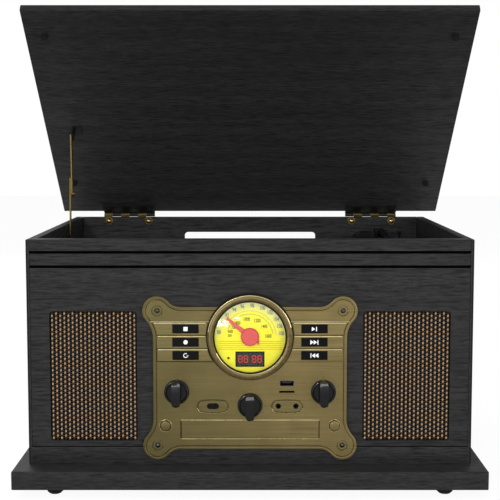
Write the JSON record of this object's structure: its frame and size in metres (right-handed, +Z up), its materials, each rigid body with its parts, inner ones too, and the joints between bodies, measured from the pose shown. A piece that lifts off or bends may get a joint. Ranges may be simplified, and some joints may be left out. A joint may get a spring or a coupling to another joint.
{
  "type": "stereo music centre",
  "caption": "Black-veneered tabletop stereo music centre with a stay-held lid over a turntable, round dial, brass fascia, disc drawer and woven speaker grilles.",
  "frame": {"origin": "on the floor under the middle of the plinth, as it stands with its lid held open", "axes": "+Z up, +X to the right of someone facing the fascia, +Y from the fascia towards the back"},
  "size_m": [0.461, 0.37, 0.4759],
  "materials": {
    "black_ash_veneer": "satin",
    "pine": "raw",
    "black_rubber": "matt",
    "antique_brass": "brushed",
    "dark_screw": "polished",
    "dial_ring_brass": "satin",
    "clear_acrylic": "gloss",
    "yellow_dial": "printed",
    "display_black": "gloss",
    "pointer_red": "gloss",
    "circuit_green": "satin",
    "black_plastic": "satin",
    "gloss_black_plastic": "gloss",
    "zinc_steel": "plated",
    "woven_grille": "woven",
    "dark_steel": "satin",
    "cone_paper": "matt",
    "silicon_steel": "raw",
    "hinge_brass": "satin",
    "blackened_steel": "satin",
    "bright_steel": "polished",
    "platter_black": "satin"
  },
  "bodies": {
    "cabinet": {"plinth": "black_ash_veneer", "feet": "black_rubber", "front_panel": "black_ash_veneer", "side_panels": "black_ash_veneer", "back_panel": "black_ash_veneer", "deck_cleats": "pine", "turntable_deck": "black_plastic", "fascia_plate": "antique_brass", "fascia_screws": "dark_screw", "dial_bezel": "dial_ring_brass", "dial_glass": "clear_acrylic", "dial_face": "yellow_dial", "display_module": "display_black", "circuit_boards": "circuit_green", "front_sockets": "black_plastic", "knob_controls": "zinc_steel", "speaker_grilles": "woven_grille", "speaker_frames": "dark_steel", "speaker_cones": "cone_paper", "disc_mechanism": "zinc_steel", "transformer": "silicon_steel", "terminal_panel": "black_plastic", "rear_sockets": "black_plastic", "hinge_wall_leaves": "hinge_brass", "hinge_pins": "bright_steel", "hinge_bolts": "hinge_brass", "stay_wall_bracket": "blackened_steel", "drive_motor": "zinc_steel", "drive_belt": "black_rubber", "tonearm_base": "black_plastic"},
    "lid": {"lid": "black_ash_veneer", "hinge_lid_leaves": "blackened_steel", "lid_bumpers": "black_rubber", "stay_lid_bracket": "blackened_steel"},
    "stay_arm": {"stay_arm": "hinge_brass"},
    "stay_rod": {"stay_rod": "hinge_brass"},
    "function_knob": {"function_knob": "gloss_black_plastic"},
    "tuning_knob": {"tuning_knob": "gloss_black_plastic"},
    "volume_knob": {"volume_knob": "gloss_black_plastic"},
    "dial_pointer": {"dial_pointer": "pointer_red"},
    "key_stop": {"key_stop": "antique_brass"},
    "key_record": {"key_record": "antique_brass"},
    "key_repeat": {"key_repeat": "antique_brass"},
    "key_play": {"key_play": "antique_brass"},
    "key_next": {"key_next": "antique_brass"},
    "key_previous": {"key_previous": "antique_brass"},
    "power_button": {"power_button": "antique_brass"},
    "drawer_button": {"drawer_button": "antique_brass"},
    "disc_drawer": {"disc_tray": "black_plastic", "drawer_front": "antique_brass"},
    "platter": {"platter": "platter_black", "platter_mat": "black_rubber", "record_spindle": "bright_steel"},
    "motor_pulley": {"motor_pulley": "hinge_brass"},
    "arm_gimbal": {"tonearm_gimbal": "black_plastic"},
    "tonearm": {"tonearm_tube": "black_plastic", "headshell": "gloss_black_plastic"},
    "cue_lever": {"cue_lever": "black_plastic"},
    "cue_lift": {"cue_lift": "black_plastic"},
    "speed_lever": {"speed_lever": "bright_steel"}
  },
  "joints": [
    {"name": "lid_hinge", "type": "hinge", "parent": "cabinet", "child": "lid", "pos_m": [0, 0.1817, 0.2488], "axis": [-1, 0, 0], "range_deg": [-39.2, 0]},
    {"name": "stay_arm_pivot", "type": "hinge", "parent": "cabinet", "child": "stay_arm", "pos_m": [0, 0.0519, 0.2344], "axis": [1, 0, 0], "range_deg": [-89.7, 0]},
    {"name": "stay_rod_pivot", "type": "hinge", "parent": "lid", "child": "stay_rod", "pos_m": [0, 0.0519, 0.34628], "axis": [-1, 0, 0], "range_deg": [-39.1, 0]},
    {"name": "function_turn", "type": "hinge", "parent": "cabinet", "child": "function_knob", "pos_m": [-0.0708, -0.1575, 0.0992], "axis": [0, 1, 0], "range_deg": [-60, 60]},
    {"name": "tuning_turn", "type": "hinge", "parent": "cabinet", "child": "tuning_knob", "pos_m": [0, -0.1575, 0.0862], "axis": [0, 1, 0], "range_deg": [-62, 266]},
    {"name": "volume_turn", "type": "hinge", "parent": "cabinet", "child": "volume_knob", "pos_m": [0.0708, -0.1575, 0.0992], "axis": [0, 1, 0], "range_deg": [-150, 150]},
    {"name": "pointer_turn", "type": "hinge", "parent": "cabinet", "child": "dial_pointer", "pos_m": [0, -0.1575, 0.1528], "axis": [0, 1, 0], "range_deg": [-31.1, 133.1]},
    {"name": "key_stop_press", "type": "slide", "parent": "cabinet", "child": "key_stop", "axis": [0, 1, 0], "range_m": [0, 0.0012], "stiffness_N_per_m": 300, "springref_m": -0.0015},
    {"name": "key_record_press", "type": "slide", "parent": "cabinet", "child": "key_record", "axis": [0, 1, 0], "range_m": [0, 0.0012], "stiffness_N_per_m": 300, "springref_m": -0.0015},
    {"name": "key_repeat_press", "type": "slide", "parent": "cabinet", "child": "key_repeat", "axis": [0, 1, 0], "range_m": [0, 0.0012], "stiffness_N_per_m": 300, "springref_m": -0.0015},
    {"name": "key_play_press", "type": "slide", "parent": "cabinet", "child": "key_play", "axis": [0, 1, 0], "range_m": [0, 0.0012], "stiffness_N_per_m": 300, "springref_m": -0.0015},
    {"name": "key_next_press", "type": "slide", "parent": "cabinet", "child": "key_next", "axis": [0, 1, 0], "range_m": [0, 0.0012], "stiffness_N_per_m": 300, "springref_m": -0.0015},
    {"name": "key_previous_press", "type": "slide", "parent": "cabinet", "child": "key_previous", "axis": [0, 1, 0], "range_m": [0, 0.0012], "stiffness_N_per_m": 300, "springref_m": -0.0015},
    {"name": "power_button_press", "type": "slide", "parent": "cabinet", "child": "power_button", "axis": [0, 1, 0], "range_m": [0, 0.0012], "stiffness_N_per_m": 300, "springref_m": -0.0015},
    {"name": "drawer_button_press", "type": "slide", "parent": "cabinet", "child": "drawer_button", "axis": [0, 1, 0], "range_m": [0, 0.0012], "stiffness_N_per_m": 300, "springref_m": -0.0015},
    {"name": "drawer_slide", "type": "slide", "parent": "cabinet", "child": "disc_drawer", "axis": [0, -1, 0], "range_m": [0, 0.125]},
    {"name": "platter_spin", "type": "hinge", "parent": "cabinet", "child": "platter", "pos_m": [0, 0.0375, 0.207], "axis": [0, 0, 1], "continuous": true},
    {"name": "pulley_spin", "type": "hinge", "parent": "cabinet", "child": "motor_pulley", "pos_m": [-0.06755, 0.0765, 0.207], "axis": [0, 0, 1], "continuous": true},
    {"name": "arm_swing", "type": "hinge", "parent": "cabinet", "child": "arm_gimbal", "pos_m": [0.1575, 0.1375, 0.2295], "axis": [0, 0, -1], "range_deg": [0, 41]},
    {"name": "arm_lift", "type": "hinge", "parent": "arm_gimbal", "child": "tonearm", "pos_m": [0.1575, 0.1375, 0.2295], "axis": [-1, 0, 0], "range_deg": [0, 8]},
    {"name": "cue_turn", "type": "hinge", "parent": "cabinet", "child": "cue_lever", "pos_m": [0.18, 0.1355, 0.2135], "axis": [1, 0, 0], "range_deg": [0, 50]},
    {"name": "cue_slide", "type": "slide", "parent": "cabinet", "child": "cue_lift", "axis": [0, 0, -1], "range_m": [0, 0.004]},
    {"name": "speed_slide", "type": "slide", "parent": "cabinet", "child": "speed_lever", "axis": [1, 0, 0], "range_m": [-0.006, 0.006]}
  ],
  "couplings": [
    {"joint": "stay_arm_pivot", "follows": "lid_hinge", "ratio": 2.2857},
    {"joint": "stay_rod_pivot", "follows": "lid_hinge", "ratio": 0.9949},
    {"joint": "pointer_turn", "follows": "tuning_turn", "ratio": 0.5},
    {"joint": "pulley_spin", "follows": "platter_spin", "ratio": 9.6357},
    {"joint": "cue_turn", "follows": "cue_slide", "rad_per_m": 217.95}
  ]
}
